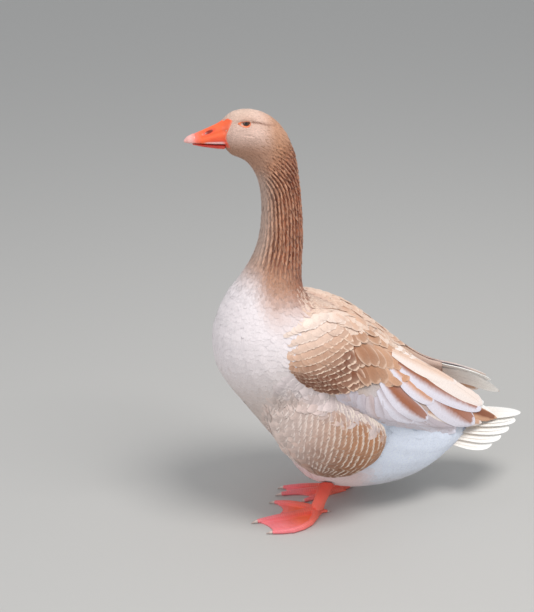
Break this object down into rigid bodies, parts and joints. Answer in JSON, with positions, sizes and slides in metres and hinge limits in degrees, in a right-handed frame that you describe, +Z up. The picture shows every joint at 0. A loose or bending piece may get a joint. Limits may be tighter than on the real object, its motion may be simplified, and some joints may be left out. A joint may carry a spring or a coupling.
{
  "type": "domestic goose figure",
  "caption": "Life-size still model of a domestic goose standing upright with folded wings, neck raised and both webbed feet on the floor.",
  "frame": {"origin": "on the floor, under the middle of the goose's bounding box", "axes": "+Z up; the bill points along -X and the tail along +X; the goose's left side faces -Y"},
  "size_m": [0.5762, 0.248, 0.6869],
  "materials": {
    "plumage_pale": "pale pinkish cream to beige body feathers, soft and matt",
    "plumage_buff": "tan-brown feathers with pale edges, soft with a faint sheen",
    "plumage_white": "white vent and tail feathers, soft and matt",
    "bill": "orange-red horny skin with a dull shine and a pale nail",
    "leg": "coral-red scaled and webbed skin",
    "claw": "pale horn",
    "eye": "wet dark brown"
  },
  "bodies": {
    "root": {"head": "plumage_pale", "neck_upper": "plumage_pale", "neck_lower": "plumage_pale", "trunk": "plumage_white", "tail": "plumage_white", "wing_left": "plumage_buff", "wing_right": "plumage_buff", "flank_left": "plumage_buff", "flank_right": "plumage_buff", "eye_left": "eye", "eye_right": "eye", "bill_upper": "bill", "bill_lower": "bill", "shank_left": "leg", "shank_right": "leg", "foot_left": "leg", "foot_right": "leg", "claw_left_inner": "claw", "claw_left_middle": "claw", "claw_left_outer": "claw", "claw_left_hind": "claw", "claw_right_inner": "claw", "claw_right_middle": "claw", "claw_right_outer": "claw", "claw_right_hind": "claw"}
  },
  "joints": []
}
